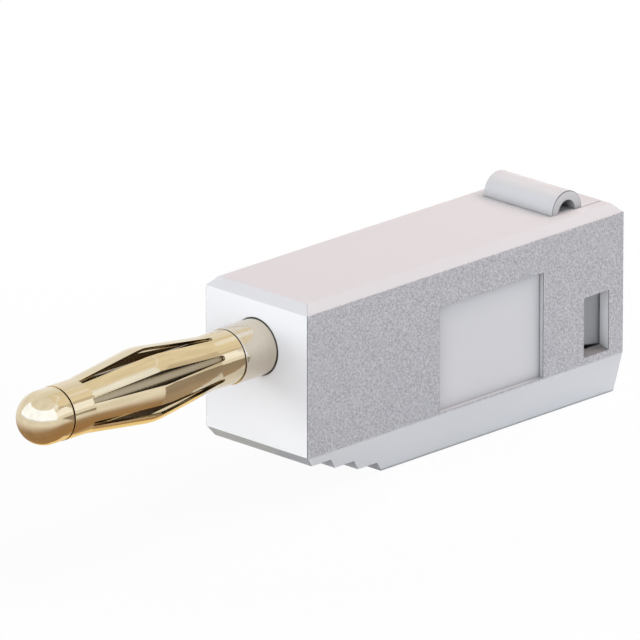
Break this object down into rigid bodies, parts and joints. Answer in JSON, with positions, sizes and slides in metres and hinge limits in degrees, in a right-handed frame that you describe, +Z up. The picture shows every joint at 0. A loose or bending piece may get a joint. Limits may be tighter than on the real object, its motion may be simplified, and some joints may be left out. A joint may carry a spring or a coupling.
{
  "type": "banana plug",
  "caption": "Sprung 4 mm banana plug in a box-shaped insulator, with a rear cap on a moulded strap, a cable guide tube and a screw terminal for the wire.",
  "frame": {"origin": "on the pin's axis, at the front face of the housing", "axes": "+X along the pin to its tip, +Z up to the side with the strap, +Y to the side with the recess"},
  "size_m": [0.0458, 0.0082, 0.0132],
  "materials": {
    "insulator": "moulded, fine grain on the sides",
    "gold_plate": "polished gold plate",
    "nickel_plate": "nickel plate",
    "screw_steel": "zinc plate"
  },
  "bodies": {
    "plug": {"housing": "insulator", "hinge_strap": "insulator", "contact_body": "gold_plate", "clamp_screw": "screw_steel", "core_rod": "nickel_plate", "lamella_cage": "gold_plate", "pin_tip": "gold_plate"},
    "cap": {"rear_cap": "insulator"}
  },
  "joints": [
    {"name": "cap_hinge", "type": "hinge", "parent": "plug", "child": "cap", "pos_m": [-0.0233, 0, 0.00432], "axis": [0, 1, 0], "range_deg": [0, 120], "deforming": ["hinge_strap"]}
  ]
}
